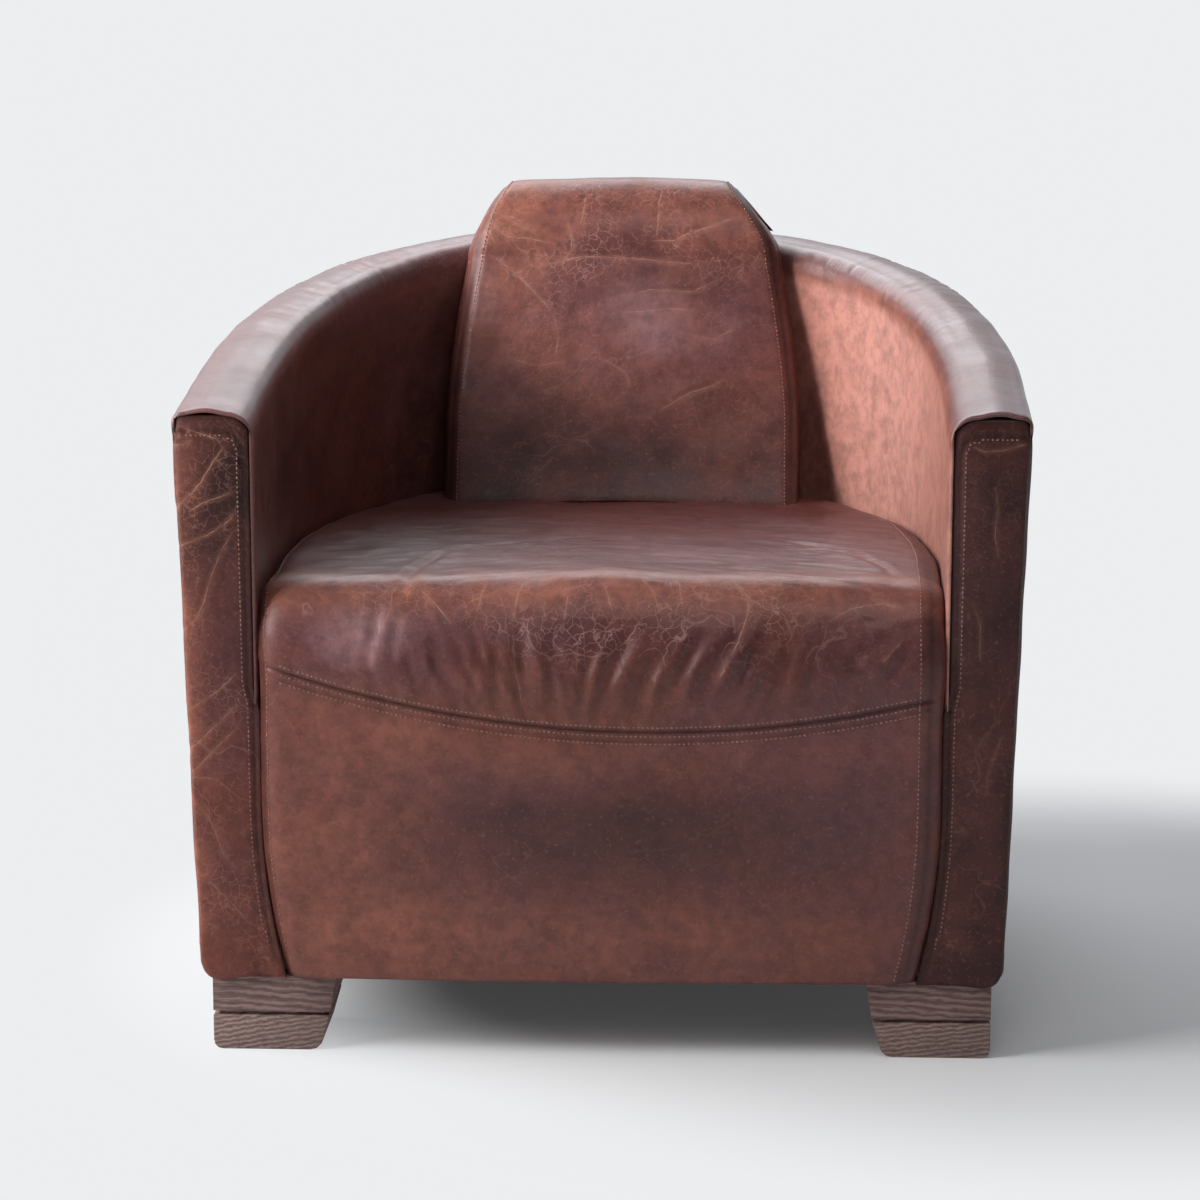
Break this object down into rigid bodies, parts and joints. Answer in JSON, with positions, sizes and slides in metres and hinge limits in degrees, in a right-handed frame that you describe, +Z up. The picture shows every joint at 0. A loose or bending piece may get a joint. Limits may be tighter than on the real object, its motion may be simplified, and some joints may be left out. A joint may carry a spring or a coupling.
{
  "type": "club chair",
  "caption": "Worn leather tub club chair with a sprung tight seat, a tapered back pad rolling over the rim, and grooved block feet.",
  "frame": {"origin": "on the floor, under the middle of the chair's outline", "axes": "+X to the viewer's right when facing the chair's front, +Y towards the back, +Z up"},
  "size_m": [0.7552, 0.7806, 0.75],
  "materials": {
    "aged_hide": "waxed, worn, semi-gloss, cracked and rubbed",
    "weathered_oak": "dark weathered oak, open grain, matt",
    "foam": "upholstery foam, open cell, matt",
    "frame_beech": "sawn hardwood, unfinished",
    "fibreboard": "hard fibreboard, matt",
    "felt": "needled felt",
    "cambric": "black nonwoven dust cloth",
    "spring_steel": "drawn wire and zinc-plated bolts"
  },
  "bodies": {
    "root": {"arm_cover_left": "aged_hide", "arm_cover_right": "aged_hide", "arm_front_post_left": "frame_beech", "arm_front_post_right": "frame_beech", "arm_middle_post_left": "frame_beech", "arm_middle_post_right": "frame_beech", "back_pad_cover": "aged_hide", "back_pad_foam": "foam", "back_pad_gusset_left": "aged_hide", "back_pad_gusset_right": "aged_hide", "back_post_left": "frame_beech", "back_post_right": "frame_beech", "back_seat_rail": "frame_beech", "base_rail_back": "frame_beech", "base_rail_left": "frame_beech", "base_rail_right": "frame_beech", "corner_block_front_left": "frame_beech", "corner_block_front_right": "frame_beech", "corner_block_rear_left": "frame_beech", "corner_block_rear_right": "frame_beech", "dust_cover": "cambric", "facing_pad_left": "foam", "facing_pad_right": "foam", "foot_bolt_front_left": "spring_steel", "foot_bolt_front_right": "spring_steel", "foot_bolt_rear_left": "spring_steel", "foot_bolt_rear_right": "spring_steel", "foot_lower_front_left": "weathered_oak", "foot_lower_front_right": "weathered_oak", "foot_lower_rear_left": "weathered_oak", "foot_lower_rear_right": "weathered_oak", "foot_upper_front_left": "weathered_oak", "foot_upper_front_right": "weathered_oak", "foot_upper_rear_left": "weathered_oak", "foot_upper_rear_right": "weathered_oak", "front_apron_cover": "aged_hide", "front_bottom_rail": "frame_beech", "front_seat_rail": "frame_beech", "outside_board_back": "fibreboard", "outside_board_left": "fibreboard", "outside_board_right": "fibreboard", "outside_cover_left": "aged_hide", "outside_cover_right": "aged_hide", "seat_foam": "foam", "seat_gusset_left": "aged_hide", "seat_gusset_right": "aged_hide", "seat_spring_1": "spring_steel", "seat_spring_2": "spring_steel", "seat_spring_3": "spring_steel", "seat_spring_4": "spring_steel", "seat_top_cover": "aged_hide", "spring_felt": "felt", "top_rail_back": "frame_beech", "top_rail_left": "frame_beech", "top_rail_right": "frame_beech", "tub_foam_back": "foam", "tub_foam_left": "foam", "tub_foam_right": "foam"}
  },
  "joints": []
}
